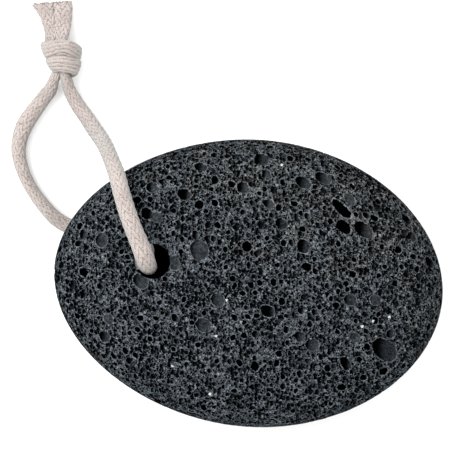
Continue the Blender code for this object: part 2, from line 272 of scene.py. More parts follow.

# The cord's mesh: points between two rows of its route, the step between its rings, and the sides of a ring.
ROUTE_FINENESS = 32
CORD_STEP = 0.2 * MM
CORD_SIDES = 56

# The yarns that stand out of each cut: how many, their sides, where along them their rings are as shares of
# their length, and their least and largest length and radius in millimetres.
YARN_SEED = 3
YARN_ENDS = 70
YARN_SIDES = 6
YARN_RINGS = (-0.6, 0.3, 0.75, 1.0)
YARN_LENGTH = (0.15, 0.5)
YARN_RADIUS = (0.12, 0.2)


def measure(name, description, default, **limits):
    """A setting for a length in metres."""
    text = {"name": name, "description": description}
    return bpy.props.FloatProperty(**text, default=default, unit="LENGTH", **limits)


def tint(name, description, default):
    """A setting for a colour."""
    return bpy.props.FloatVectorProperty(name=name, description=description, default=default, subtype="COLOR")


class StoneSettings(bpy.types.PropertyGroup):
    """Sizes and colours of the stone"""

    length: measure("Length", "Along the pebble", 0.100, min=0.05, max=0.2)
    width: measure("Width", "Across the pebble", 0.0736, min=0.03, max=0.2)
    thickness: measure("Thickness", "Pebble's height before its rest wears flat", 0.0304)
    hole: measure("Hole", "Diameter of the drilled hole", 0.0088, min=0.003)
    wall: tint("Walls", "Colour of the stone between its pores", (0.0052, 0.0070, 0.0092))
    # The rim colour is for rims pale from wear, and also for the painted highlights and glints.
    rim: tint("Rims", "Colour of the thin worn rims", (0.202, 0.231, 0.256))
    # The pit colour is painted shade, deep in the pores and pits and down the hole.
    pit: tint("Pits", "Colour deep inside the pores", (0.0004, 0.0005, 0.0006))
    crystal: tint("Crystals", "Colour of the few white crystals", (0.52, 0.52, 0.50))
    # The dust colour takes the place of the rim colour in the warmer patches, painted highlights included.
    dust_and_highlight: tint("Dust", "Colour of the rims in the warmer patches", (0.273, 0.276, 0.274))
    earth: tint("Earth", "Colour of the warmer patches", (0.0128, 0.0125, 0.0125))


class CordSettings(bpy.types.PropertyGroup):
    """Thickness and colours of the cord"""

    thickness: measure("Thickness", "Diameter of the slack cord", 0.004, min=0.001)
    cotton: tint("Cotton", "Colour of the yarn", (0.385, 0.335, 0.314))
    shade: tint("Shade", "Colour down between the strands", (0.165, 0.140, 0.129))
    # The spots colour is painted shade, deep in the gaps between strands.
    spots: tint("Spots", "Colour of the few dark spots", (0.078, 0.065, 0.059))
    # The flank colour is a painted shade on the cord's sides, where they turn away from above.
    flank_shade: tint("Flanks", "Colour of the duller sides", (0.253, 0.266, 0.253))


class StageSettings(bpy.types.PropertyGroup):
    """Colour of the floor and strength of the lights"""

    floor: tint("Floor", "Colour of the floor", (0.95, 0.95, 0.95))
    key: bpy.props.FloatProperty(
        name="Key",
        description="Power of the key light in watts",
        default=4.6,
        min=0.0,
    )
    fill: bpy.props.FloatProperty(
        name="Fill",
        description="Strength of the light all round",
        default=1.65,
        min=0.0,
    )


class Socket:
    """An output socket. Arithmetic on it adds Math nodes to its tree."""

    def __init__(self, board, node, output=0):
        self.board = board
        self.node = node
        self.link = node.outputs[output] if node.outputs else None

    def out(self, output):
        return Socket(self.board, self.node, output)

    def math(self, operation, *operands):
        return self.board.node("ShaderNodeMath", {"operation": operation}, operands)

    def __add__(self, other):
        return self.math("ADD", self, other)

    __radd__ = __add__

    def __mul__(self, other):
        return self.math("MULTIPLY", self, other)

    __rmul__ = __mul__

    def __sub__(self, other):
        return self.math("SUBTRACT", self, other)

    def __rsub__(self, other):
        return self.math("SUBTRACT", other, self)

    def __truediv__(self, other):
        return self.math("DIVIDE", self, other)

    def __rtruediv__(self, other):
        return self.math("DIVIDE", other, self)

    def __pow__(self, other):
        return self.math("POWER", self, other)

    def __abs__(self):
        return self.math("ABSOLUTE", self)


class Board:
    """A node tree, and the one method that adds nodes to it."""

    def __init__(self, tree):
        self.tree = tree
        tree.nodes.clear()

    def node(self, kind, settings=None, values=(), output=0):
        """Adds a node: its settings first, then values or links for its sockets, by place or by name."""
        node = self.tree.nodes.new(kind)
        for name, value in (settings or {}).items():
            setattr(node, name, value)
        for key, value in values.items() if isinstance(values, dict) else enumerate(values):
            if isinstance(value, Socket):
                self.tree.links.new(value.link, node.inputs[key])
            else:
                node.inputs[key].default_value = value
        return Socket(self, node, output)

    def mix(self, factor, first, second):
        """A colour between two."""
        return self.node("ShaderNodeMix", {"data_type": "RGBA"}, {0: factor, 6: first, 7: second}, output=2)

    def ease(self, value, start, end):
        """0 before start, 1 after end, smooth between."""
        settings = {"interpolation_type": "SMOOTHSTEP"}
        return self.node("ShaderNodeMapRange", settings, {"Value": value, "From Min": start, "From Max": end})

    def vector(self, operation, *operands, output=0):
        return self.node("ShaderNodeVectorMath", {"operation": operation}, operands, output)

    def scaled(self, vector, size):
        return self.node("ShaderNodeVectorMath", {"operation": "SCALE"}, {0: vector, "Scale": size})

    def noise(self, place, size, detail=2.0, roughness=0.5, output="Fac"):
        """Smooth noise about the place, its lumps about as wide as size."""
        values = {"Vector": place, "Scale": 1 / size, "Detail": detail, "Roughness": roughness}
        return self.node("ShaderNodeTexNoise", {"noise_dimensions": "3D"}, values, output)


def rgba(colour):
    return (*colour, 1.0)


def finished(mesh, name, material, slot, *nodes):
    """The mesh as a smooth piece that rides on the root body, and stands for those nodes of the solid."""
    obj = bpy.data.objects.new(name, mesh)
    bpy.context.scene.collection.objects.link(obj)
    mesh.materials.clear()
    mesh.materials.append(material)
    mesh.shade_smooth()
    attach(obj, "root")
    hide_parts(*nodes)
    return obj


# Stone


def pebble_form(ways, stone):
    """The pebble's surface for an array of unit directions, before it leans."""
    fullness = np.where(ways[:, 2] > 0, TOP_FULLNESS, UNDERSIDE_FULLNESS)
    plan = abs(ways[:, 0]) ** PLAN_FULLNESS + abs(ways[:, 1]) ** PLAN_FULLNESS
    reach = (plan ** (fullness / PLAN_FULLNESS) + abs(ways[:, 2]) ** fullness) ** (-1 / fullness)
    form = ways * reach[:, None]
    along = form[:, 0]
    form[:, 1] *= 1 + WIDER_END * along - NARROWER_TIPS * along**2
    return form * (stone.length / 2, stone.width / 2, stone.thickness / 2)


def settled(form):
    """The form leaning as it lies, centred over the origin, with its lowest point worn flat at z = 0."""
    lean = Matrix.Rotation(-LEAN_ACROSS, 3, "X") @ Matrix.Rotation(LEAN_ALONG, 3, "Y")
    form = form @ np.array(lean).T
    low, high = form.min(axis=0), form.max(axis=0)
    form -= ((low[0] + high[0]) / 2, (low[1] + high[1]) / 2, low[2] + REST_FLAT_DEPTH)
    form[:, 2] = np.maximum(form[:, 2], 0)
    return form


def read_places(mesh):
    places = np.empty(len(mesh.vertices) * 3)
    mesh.vertices.foreach_get("co", places)
    return places.reshape(-1, 3)


def pebble_bmesh(stone):
    """A mesh of the pebble, with an even grid below and one twice as fine above."""
    bm = bmesh.new()
    bmesh.ops.create_cube(bm, size=2)
    bmesh.ops.subdivide_edges(bm, edges=bm.edges, cuts=UNDERSIDE_CUTS, use_grid_fill=True)
    above = [edge for edge in bm.edges if min(vertex.co.z for vertex in edge.verts) > -JUST_BELOW]
    bmesh.ops.subdivide_edges(bm, edges=above, cuts=1, use_grid_fill=True)
    shares = np.array([vertex.co for vertex in bm.verts])
    ways = np.tan(shares * math.pi / 4) * (1, 1, TOP_CROWDING)
    ways /= np.linalg.norm(ways, axis=1)[:, None]
    for vertex, place in zip(bm.verts, settled(pebble_form(ways, stone))):
        vertex.co = place
    bm.normal_update()
    return bm


def off_hole(places):
    """How far each place is, sideways, from the middle of the slanting hole."""
    up = np.maximum(places[:, 2], HOLE_FOOT[2])
    share = (up - HOLE_FOOT[2]) / (HOLE_TOP[2] - HOLE_FOOT[2])
    return places[:, :2] - (HOLE_FOOT + share[:, None] * (HOLE_TOP - HOLE_FOOT))[:, :2]


def hole_radius(heights, stone):
    """The hole's radius at each height: even, then widening to its lower mouth."""
    opening = (LOWER_MOUTH_DIAMETER - stone.hole) / 2
    return stone.hole / 2 + opening * np.clip(1 - heights / HOLE_FOOT[2], 0, 1)


def snap_to_hole(verts, stone):
    """Moves the vertices sideways onto the hole's wall."""
    places = np.array([vertex.co for vertex in verts])
    aside = off_hole(places)
    reach = np.linalg.norm(aside, axis=1)
    places[:, :2] += aside * (hole_radius(places[:, 2], stone) / reach - 1)[:, None]
    for vertex, place in zip(verts, places):
        vertex.co = place


def drill(bm, stone):
    """Opens the pebble above and below, rounds both mouths and joins them with the hole's wall."""
    middles = np.array([face.calc_center_median() for face in bm.faces])
    inside = np.linalg.norm(off_hole(middles), axis=1) < hole_radius(middles[:, 2], stone)
    bmesh.ops.delete(bm, geom=[face for face, gone in zip(bm.faces, inside) if gone], context="FACES")
    rims = [edge for edge in bm.edges if edge.is_boundary]
    snap_to_hole(list({vertex for edge in rims for vertex in edge.verts}), stone)
    wall = bmesh.ops.bridge_loops(bm, edges=rims)
    made = bmesh.ops.subdivide_edges(bm, edges=wall["edges"], cuts=HOLE_RINGS)
    snap_to_hole([item for item in made["geom_inner"] if isinstance(item, bmesh.types.BMVert)], stone)
    bmesh.ops.recalc_face_normals(bm, faces=bm.faces)


def large_pits(surface, bm):
    """The pits too big for the pore pattern, as (place, normal, mouth, stretch, turn, painted shade, depth).
    """
    pits = []
    for x, y, mouth, stretch, turn, black, depth in TOP_PITS:
        place, normal, _, _ = surface.ray_cast(Vector((x, y, HIGH_ABOVE)), DOWN)
        pits.append((place, normal, mouth, stretch, math.radians(turn), black, depth))
    rng = random.Random(EXTRA_SEED)
    bm.faces.ensure_lookup_table()
    while len(pits) < len(TOP_PITS) + EXTRA_PITS:
        face = bm.faces[rng.randrange(len(bm.faces))]
        place = face.calc_center_median()
        largest = EXTRA_TOP_MOUTH if place.z > TOP_LEVEL else EXTRA_MOUTH[1]
        mouth = EXTRA_MOUTH[0] + (largest - EXTRA_MOUTH[0]) * rng.random() ** 3
        stretch = rng.uniform(*EXTRA_STRETCH)
        turn = PORE_TURN + rng.gauss(*EXTRA_TURN)
        black = rng.uniform(*EXTRA_BLACKNESS)
        if all((place - other[0]).length > (mouth * stretch + other[2] * other[3]) / 2 for other in pits):
            depth = rng.uniform(*EXTRA_DEPTH)
            pits.append((place, face.normal.copy(), mouth, stretch, turn, black, depth))
    return pits


def carve(places, pits, drilled):
    """Presses each pit into the places near it, as a round bubble, but for those down the drilled hole.

    Gives how far beyond the nearest pit's edge each place is, and how far along the light it is from the edge
    of that pit's painted shade.
    """
    rest = places.copy()
    beyond = np.full(len(places), FAR_FROM_PITS)
    lit = np.zeros(len(places))
    for place, normal, mouth, stretch, turn, black, deep in pits:
        near = np.flatnonzero((np.abs(rest - place).max(axis=1) < mouth * stretch) & (drilled == 0))
        along = Vector((math.cos(turn), math.sin(turn), 0))
        across = normal.cross(along).normalized()
        along = across.cross(normal)
        reach = math.hypot(along.dot(LIGHT_RUN) * stretch, across.dot(LIGHT_RUN)) * mouth / 2
        offset = rest[near] - np.array(place)
        share_along = offset @ np.array(along) / (mouth / 2 * stretch)
        share = np.hypot(share_along, offset @ np.array(across) / (mouth / 2))
        edge = (share - 1) * mouth / 2
        near, offset, share, edge = (item[edge < beyond[near]] for item in (near, offset, share, edge))
        beyond[near] = edge
        lit[near] = offset @ np.array(LIGHT_RUN) / reach - black
        depth = mouth * deep * np.sqrt(np.clip(1 - share**PIT_FULLNESS, 0, None))
        places[near] = rest[near] - depth[:, None] * np.array(normal)
    return beyond, lit


def hole_depth(places, surface, stone):
    """Twice how far down or up the drilled hole each place is, from the nearer mouth. 0 outside it."""
    top = surface.ray_cast(Vector((*HOLE_TOP[:2], HIGH_ABOVE)), DOWN)[0].z
    reach = np.linalg.norm(off_hole(places), axis=1)
    depth = np.minimum(top - places[:, 2], places[:, 2]) * 2
    return np.where(reach < hole_radius(places[:, 2], stone) + HOLE_EDGE, np.clip(depth, 0, None), 0)


# Layers of pores, in millimetres: spacing of the bubbles, their smallest and largest radius, the wall left
# between two of them. Then where along the light their painted shade begins to end and ends, as shares of
# the radius. The finer layers are only drawn.
CARVED_PORES = ((3.1, 0.45, 0.90, 0.22, -0.4, 1.1), (1.04, 0.33, 0.66, 0.08, -0.3, 1.2))
DRAWN_PORES = ((0.64, 0.19, 0.38, 0.05, 0.1, 1.3), (0.42, 0.13, 0.24, 0.04, 0.3, 1.3))
PORE_RANDOMNESS = 0.8
PORE_SHIFT_SIZE = 0.8 * MM
PORE_SHIFT = 1.3 * MM
PORE_STRETCH = 1.2
PORE_DEPTH = 0.8
PORE_TURN = math.radians(-71)
PORE_RUN = Vector((math.cos(PORE_TURN), math.sin(PORE_TURN), 0))
# The way the key light runs across the stone. Along it the pores and pits get painted shade on the wall that
# faces away from the light, and painted light on the far wall.
LIGHT_RUN = Vector((0.98, -0.02, 0.15))


def pore_place(board, place):
    """The place shifted a little and drawn together along one way.

    Bubbles round such places come out longer and not quite round.
    """
    shift = board.noise(place, PORE_SHIFT_SIZE, 2.0, output="Color")
    shift = board.vector("SUBTRACT", shift, (0.5, 0.5, 0.5))
    moved = board.vector("ADD", place, board.scaled(shift, PORE_SHIFT))
    along = board.vector("DOT_PRODUCT", moved, PORE_RUN, output="Value")
    return board.vector("SUBTRACT", moved, board.scaled(PORE_RUN, along * (1 - 1 / PORE_STRETCH)))


def bubbles(board, place, cell, smallest, largest, wall):
    """The bubble nearest each place: how far beyond it the place is, its radius, and the way out of it."""
    values = {"Vector": place, "Scale": 1 / (cell * MM), "Randomness": PORE_RANDOMNESS}
    solid = {"voronoi_dimensions": "3D"}
    pattern = board.node("ShaderNodeTexVoronoi", {**solid, "feature": "F1"}, values)
    border = board.node("ShaderNodeTexVoronoi", {**solid, "feature": "DISTANCE_TO_EDGE"}, values)
    chance = board.node("ShaderNodeSeparateXYZ", None, (pattern.out("Color"),))
    radius = chance * ((largest - smallest) * MM) + smallest * MM
    beyond = pattern * (cell * MM) - radius
    beyond = beyond.math("MAXIMUM", beyond, wall / 2 * MM - border * (cell * MM))
    return beyond, radius, board.vector("SUBTRACT", place, pattern.out("Position"))


def away_from(board, place, spots):
    """How far each place is in plan from the nearest of some spots."""
    flat = board.vector("MULTIPLY", place, (1, 1, 0))
    nearest = None
    for x, y in spots:
        away = board.vector("DISTANCE", flat, (x, y, 0), output="Value")
        nearest = away if nearest is None else away.math("MINIMUM", nearest, away)
    return nearest


def add_pores(obj):
    """Sinks the pore pattern into the mesh, and keeps each point's place before that as an attribute."""
    tree = bpy.data.node_groups.new("pores", "GeometryNodeTree")
    tree.interface.new_socket("Geometry", in_out="INPUT", socket_type="NodeSocketGeometry")
    tree.interface.new_socket("Geometry", in_out="OUTPUT", socket_type="NodeSocketGeometry")
    board = Board(tree)
    mesh_in = board.node("NodeGroupInput")
    place = board.node("GeometryNodeInputPosition")
    normal = board.node("GeometryNodeInputNormal")
    kept = board.node(
        "GeometryNodeStoreNamedAttribute",
        {"data_type": "FLOAT_VECTOR", "domain": "POINT"},
        {"Geometry": mesh_in, "Name": "rest_place", "Value": place},
    )
    uneven = pore_place(board, place)
    depth, free = None, None
    for cell, smallest, largest, wall, _, _ in CARVED_PORES:
        beyond, radius, _ = bubbles(board, uneven, cell, smallest, largest, wall)
        layer = board.ease(beyond / radius, 0.08, -0.5) * radius * PORE_DEPTH
        layer = layer if free is None else layer * free
        depth = layer if depth is None else depth.math("MAXIMUM", depth, layer)
        clear = board.ease(beyond, 0.10 * MM, 0.25 * MM)
        free = clear if free is None else free * clear
    sunk = board.scaled(normal, depth * -1.0)
    moved = board.node("GeometryNodeSetPosition", None, {"Geometry": kept, "Offset": sunk})
    board.node("NodeGroupOutput", None, (moved,))
    modifier = obj.modifiers.new("pores", "NODES")
    modifier.node_group = tree
    bpy.context.view_layer.update()
    graph = bpy.context.evaluated_depsgraph_get()
    mesh = bpy.data.meshes.new_from_object(obj.evaluated_get(graph))
    mesh.name = obj.name
    return mesh


# Sizes of the lumps of noise that vary the stone's colour, and the heights between which a painted shade
# dims its pale marks towards the bottom.
RAGGED_SIZE = 0.5 * MM
CLOUD_SIZE = 9 * MM
GRAIN_SIZE = 0.45 * MM
GLINT_SIZE = 0.42 * MM
SPECK_SIZE = 1.1 * MM
PATCH_SIZE = 6 * MM
SIDE_SHADE_BELOW = 15 * MM
FULL_ABOVE = 26 * MM

# How far the edges of pits and crystals wander, and the relief of the grain and of the drawn pores.
PIT_EDGE_WANDER = 0.6 * MM
CRYSTAL_EDGE_WANDER = 0.9 * MM
GRAIN_RELIEF = 0.10 * MM
PORE_RELIEF = 0.7

# Small crystals all over: spacing, least and largest radius and wall, as for the pores. Most are too small to
# show, as their radius is below 0.
SMALL_CRYSTALS = (4.5, -0.4, 0.16, 0.1)


def large_pit_masks(board, ragged):
    """Masks for the large pits: inside, how far along the light, painted shade, on a rim, and free for pores.
    """
    beyond = board.node("ShaderNodeAttribute", {"attribute_name": "beyond_pit"}, output="Fac")
    lit = board.node("ShaderNodeAttribute", {"attribute_name": "lit_in_pit"}, output="Fac")
    beyond = beyond + ragged * PIT_EDGE_WANDER
    hollow = board.ease(beyond, 0.04 * MM, -0.08 * MM)
    dark = hollow * board.ease(lit + ragged * 0.5, 0.6, -0.3)
    rim = board.ease(beyond, -0.05 * MM, 0.03 * MM) * board.ease(beyond, 0.22 * MM, 0.06 * MM)
    free = board.ease(beyond, 0.05 * MM, 0.2 * MM)
    free = free.math("MAXIMUM", free, board.ease(lit, -0.2, 0.8) * 0.4)
    return hollow, lit, dark, rim, free


def with_pores(board, place, dark, rim, free):
    """Adds the pores to the masks, each finer layer only between the coarser ones, and gives their depth."""
    rest = board.node("ShaderNodeAttribute", {"attribute_name": "rest_place"}, output="Vector")
    uneven = pore_place(board, rest)
    swell = board.noise(place, CLOUD_SIZE, 3.0) * 0.5 + 0.84
    height = None
    for cell, smallest, largest, wall, black_until, grey_from in (*CARVED_PORES, *DRAWN_PORES):
        beyond, radius, outward = bubbles(board, uneven, cell, smallest, largest, wall)
        beyond = beyond + (1 - swell) * radius
        side = board.vector("DOT_PRODUCT", outward, LIGHT_RUN, output="Value") / radius
        inside = board.ease(beyond, 0.03 * MM, -0.05 * MM) * free
        # Painted shade: black on the side of each pore that the light comes from, fading to grey on the far
        # wall.
        black = inside * board.ease(side, grey_from, black_until)
        edge = board.ease(beyond, -0.04 * MM, 0.03 * MM) * board.ease(beyond, 0.16 * MM, 0.04 * MM) * free
        # Painted highlight: a rim is brighter on the side that the light comes from.
        edge = edge * (board.ease(side, 0.8, -0.4) * 0.45 + 0.55)
        dark = dark.math("MAXIMUM", dark, black)
        rim = rim.math("MAXIMUM", rim, edge)
        sunk = inside * radius * PORE_RELIEF
        height = sunk if height is None else height.math("MAXIMUM", height, sunk)
        free = free * board.ease(beyond, 0.03 * MM, 0.10 * MM)
    return dark, rim, height


def crystal_mask(board, place, up, ragged):
    """The few crystals: small ones all over, and those of the top at their own places."""
    small, _, _ = bubbles(board, place, *SMALL_CRYSTALS)
    small = board.ease(small, 0.08 * MM, -0.04 * MM)
    large = away_from(board, place, CRYSTALS) + ragged * CRYSTAL_EDGE_WANDER
    large = board.ease(large, 0.40 * MM, 0.24 * MM) * board.ease(up, 10 * MM, 14 * MM)
    return small, large


def stone_material(stone):
    """Black vesicular stone: pores in painted shade, rims paler from wear and painted highlights, fine grain
    and a few crystal specks.
    """
    material = bpy.data.materials.new("pumice")
    material.use_nodes = True
    board = Board(material.node_tree)
    place = board.node("ShaderNodeTexCoord", output="Object")
    spot = board.node("ShaderNodeSeparateXYZ", None, (place,))
    up = spot.out("Z")
    ragged = board.noise(place, RAGGED_SIZE, 2.0, 0.6) - 0.5
    hollow, lit, dark, rim, free = large_pit_masks(board, ragged)
    dark, rim, height = with_pores(board, place, dark, rim, free)
    grain = board.noise(place, GRAIN_SIZE, 3.0, 0.7)
    glints = board.ease(board.noise(place, GLINT_SIZE, 1.0), 0.60, 0.70)
    specks = board.noise(place, SPECK_SIZE, 2.0, 0.6)

    # Warmer, dustier patches gather towards +X and +Y.
    lean = spot * 2.5 + spot.out("Y") * 6.0
    patches = board.ease(board.noise(place, PATCH_SIZE, 3.0) + lean, 0.5, 0.8)
    wall = board.mix(patches * 0.4, rgba(stone.wall), rgba(stone.earth))
    wall = board.mix(board.ease(grain, 0.55, 0.35) * 0.4, wall, rgba(stone.pit))

    # Rims and grains are pale from wear. The glints, and the rims' brighter side towards the light, are
    # painted highlights. The floors of large pits get painted light where lit, and a painted shade dims all
    # of this on the lower sides.
    wear_and_painted_light = rim * (board.ease(specks, 0.34, 0.62) * 0.5 + 0.35) + board.ease(grain, 0.5, 0.75) * 0.25 + glints
    floors = board.ease(lit, -0.3, 1.2) * 0.10 + board.ease(grain, 0.38, 0.64) * 0.14
    wear_and_painted_light = wear_and_painted_light + (floors - wear_and_painted_light) * (hollow * 0.85)
    wear_and_painted_light = wear_and_painted_light * (1.0 - board.ease(up, FULL_ABOVE, SIDE_SHADE_BELOW) * 0.35) * 0.86
    colour = board.mix(wear_and_painted_light, wall, board.mix(patches * 0.6, rgba(stone.rim), rgba(stone.dust_and_highlight)))
    # Painted shade in the pores and large pits, on the side the light comes from.
    colour = board.mix(dark, colour, rgba(stone.pit))
    for crystals in crystal_mask(board, place, up, ragged):
        colour = board.mix(crystals, colour, rgba(stone.crystal))

    # Painted shade: the drilled hole turns black within a millimetre or so of its mouths.
    drilled = board.node("ShaderNodeAttribute", {"attribute_name": "drilled"}, output="Fac")
    colour = board.mix(board.ease(drilled, 0.25 * MM, 1.3 * MM), colour, rgba(stone.pit))
    relief = {"Strength": 0.85, "Distance": 1.0, "Height": grain * GRAIN_RELIEF - height}
    bump = board.node("ShaderNodeBump", None, relief)
    values = {"Base Color": colour, "Roughness": 0.9, "Normal": bump, "Specular IOR Level": 0.0}
    shader = board.node("ShaderNodeBsdfPrincipled", None, values)
    board.node("ShaderNodeOutputMaterial", None, (shader,))
    return material


class PUMICE_OT_stone(bpy.types.Operator):
    """Makes the pitted and drilled stone"""

    bl_idname = "pumice.stone"
    bl_label = "Pumice stone"

    def execute(self, context):
        stone = context.scene.pumice_stone
        bm = pebble_bmesh(stone)
        surface = BVHTree.FromBMesh(bm)
        pits = large_pits(surface, bm)
        drill(bm, stone)
        mesh = bpy.data.meshes.new("stone_body")
        bm.to_mesh(mesh)
        bm.free()
        places = read_places(mesh)
        wall = hole_depth(places, surface, stone)
        beyond, lit = carve(places, pits, wall)
        mesh.vertices.foreach_set("co", places.ravel())
        for name, values in (("drilled", wall), ("beyond_pit", beyond), ("lit_in_pit", lit)):
            mesh.attributes.new(name, "FLOAT", "POINT").data.foreach_set("value", values)
        mesh.update()
        smooth = bpy.data.objects.new("stone_body", mesh)
        context.scene.collection.objects.link(smooth)
        pored = add_pores(smooth)
        bpy.data.objects.remove(smooth, do_unlink=True)
        finished(pored, "pumice_stone", stone_material(stone), "pumice", "stone")
        return {"FINISHED"}


# Cord


def smooth_route(route, step):
    """Rows an even step apart on the smooth curve through the route's rows, and how far along each one is."""
    knots = np.array([2 * route[0] - route[1], *route, 2 * route[-1] - route[-2]])
    rows = []
    for before, start, end, after in zip(knots, knots[1:], knots[2:], knots[3:]):
        t = np.linspace(0, 1, ROUTE_FINENESS, endpoint=False)[:, None]
        bend = (2 * before - 5 * start + 4 * end - after) * t**2
        twist = (3 * start - before - 3 * end + after) * t**3
        rows.append((2 * start + (end - before) * t + bend + twist) / 2)
    rows = np.concatenate([*rows, knots[-2:-1]])
    travelled = np.concatenate([[0], np.cumsum(np.linalg.norm(np.diff(rows[:, :3], axis=0), axis=1))])
    even = np.linspace(0, travelled[-1], round(travelled[-1] / step) + 1)
    return np.stack([np.interp(even, travelled, column) for column in rows.T], axis=1), even


def knot_rows(strand):
    """A strand of the knot in the frame of the model.

    A row is the place, width, depth, the way the flat side faces, how tight the yarns are pulled and how
    square the section is pressed.
    """
    place = Matrix.Translation(KNOT_CENTRE) @ Matrix.Rotation(KNOT_TURN, 4, "Z")
    rows = []
    for across, along, up, width, depth in strand:
        tail = min(max((along - TAILS_START[0]) / (TAILS_START[1] - TAILS_START[0]), 0), 1)
        facing = Vector((across, -KNOT_TAPER, up)).normalized().lerp(Vector((0, 0, 1)), tail)
        facing = place.to_3x3() @ facing
        tight = float(abs(along) < TIGHT_REACH)
        square = float(along > -TIGHT_REACH)
        spot = place @ (Vector((across, along, up)) * MM)
        rows.append((*spot, width * MM, depth * MM, *facing, tight, square))
    return rows


def cord_rows():
    """The whole cord, from its left cut end through the knot, round the loop and back to the other end."""
    loop = [(*row, 0, 0, 1, 0, 0) for row in LOOP_ROUTE]
    return np.array([*knot_rows(LEFT_STRAND)[::-1], *loop[::-1], *knot_rows(RIGHT_STRAND)])


def unit(rows):
    return rows / np.maximum(np.linalg.norm(rows, axis=-1, keepdims=True), 1e-9)


def cord_frames(centres, travelled):
    """For each point of the line, the way ahead and two directions square to it and to each other.

    The two turn as little as they can. Towards both ends the way ahead becomes the way that the cuts face.
    """
    ahead = unit(np.gradient(centres, axis=0))
    first = np.clip(1 - travelled / CUT_REACH, 0, 1)[:, None]
    last = np.clip(1 - (travelled[-1] - travelled) / CUT_REACH, 0, 1)[:, None]
    ahead = unit(ahead * (1 - first - last) - CUT_WAY * first + CUT_WAY * last)
    side = unit(np.cross(ahead[0], (0, 0, 1.0)))
    sides = []
    for way in ahead:
        side = unit(side - way * (side @ way))
        sides.append(side)
    sides = np.array(sides)
    return ahead, sides, np.cross(ahead, sides)


# Strands round the braid each way, the length along it from one strand to the next and how far they stand
# out. Then the yarns round the tight cord, and the length over which they move on by one.
BRAID_STRANDS = 12
BRAID_LENGTH = 2.3 * MM
BRAID_RELIEF = 0.18 * MM
TIGHT_YARNS = 13
TIGHT_TWIST = 12 * MM


def braid_height(turn, travelled):
    """How high the braid stands, 0 to 1, at a turn about the cord and a way along it."""
    one = BRAID_STRANDS * turn / (2 * math.pi) + travelled / BRAID_LENGTH
    other = BRAID_STRANDS * turn / (2 * math.pi) - travelled / BRAID_LENGTH
    phase = (np.floor(one) + np.floor(other)) % 4
    on_top = phase < 2
    across = np.where(on_top, one, other) % 1
    along = (np.where(on_top, other, one) % 1 + phase % 2) / 2
    return np.sin(math.pi * across) ** 0.5 * (0.5 + 0.5 * np.sin(math.pi * along) ** 0.7)


def tight_height(turn, travelled):
    """How high the yarns stand, 0 to 1, where the cord is pulled so tight that they lie side by side."""
    return np.abs(np.sin(math.pi * (TIGHT_YARNS * turn / (2 * math.pi) + travelled / TIGHT_TWIST))) ** 0.6


def pressed(across, out, square):
    """How far a section pressed square stands outside the ellipse of the same width and depth."""
    power = 2 + 1.2 * square
    return (np.abs(across) ** power + np.abs(out) ** power) ** (-1 / power)


def add_ring(bm, centre, ways, sizes, tight=0.0):
    ring = [bm.verts.new(centre + way * size) for way, size in zip(ways, sizes)]
    for vert in ring:
        vert[bm.verts.layers.float["tight"]] = tight
    return ring


def add_wall(bm, texture, rings, travelled):
    """The faces between rings of vertices, with how far round and how far along in the UV map."""
    for index, (ring, after) in enumerate(zip(rings, rings[1:])):
        for step in range(len(ring)):
            beside = (step + 1) % len(ring)
            face = bm.faces.new((ring[step], ring[beside], after[beside], after[step]))
            corners = ((step, index), (step + 1, index), (step + 1, index + 1), (step, index + 1))
            for loop, (u, v) in zip(face.loops, corners):
                loop[texture].uv = (u / len(ring), travelled[v])
    bm.faces.new(rings[0])
    bm.faces.new(rings[-1])


def add_yarn_ends(bm, texture, row, ahead, rng):
    """Short loose yarns that stand out of a cut end."""
    centre, width, depth = row[:3], row[3], row[4]
    flat = unit(row[5:8] - ahead * (row[5:8] @ ahead))
    across = np.cross(ahead, flat)
    turns = np.linspace(0, 2 * math.pi, YARN_SIDES, endpoint=False)
    circle = np.cos(turns)[:, None] * across + np.sin(turns)[:, None] * flat
    for _ in range(YARN_ENDS):
        turn = rng.uniform(0, 2 * math.pi)
        reach = math.sqrt(rng.random()) * 0.94
        start = centre + reach * (math.cos(turn) * across * width + math.sin(turn) * flat * depth) / 2
        aside = reach * math.cos(turn) * 0.25 + rng.gauss(0, 0.15)
        way = unit(ahead + across * aside + flat * rng.gauss(0, 0.12))
        length = rng.uniform(*YARN_LENGTH) * MM
        bend = across * rng.gauss(0, 0.1) * MM
        radius = rng.uniform(*YARN_RADIUS) * MM
        rings = []
        for share in YARN_RINGS:
            size = radius * (1 - 0.75 * max(share, 0) ** 3)
            middle = start + way * length * share + bend * max(share, 0) ** 2
            rings.append(add_ring(bm, middle, circle, [size] * YARN_SIDES))
        add_wall(bm, texture, rings, [rng.random() * MM] * len(YARN_RINGS))


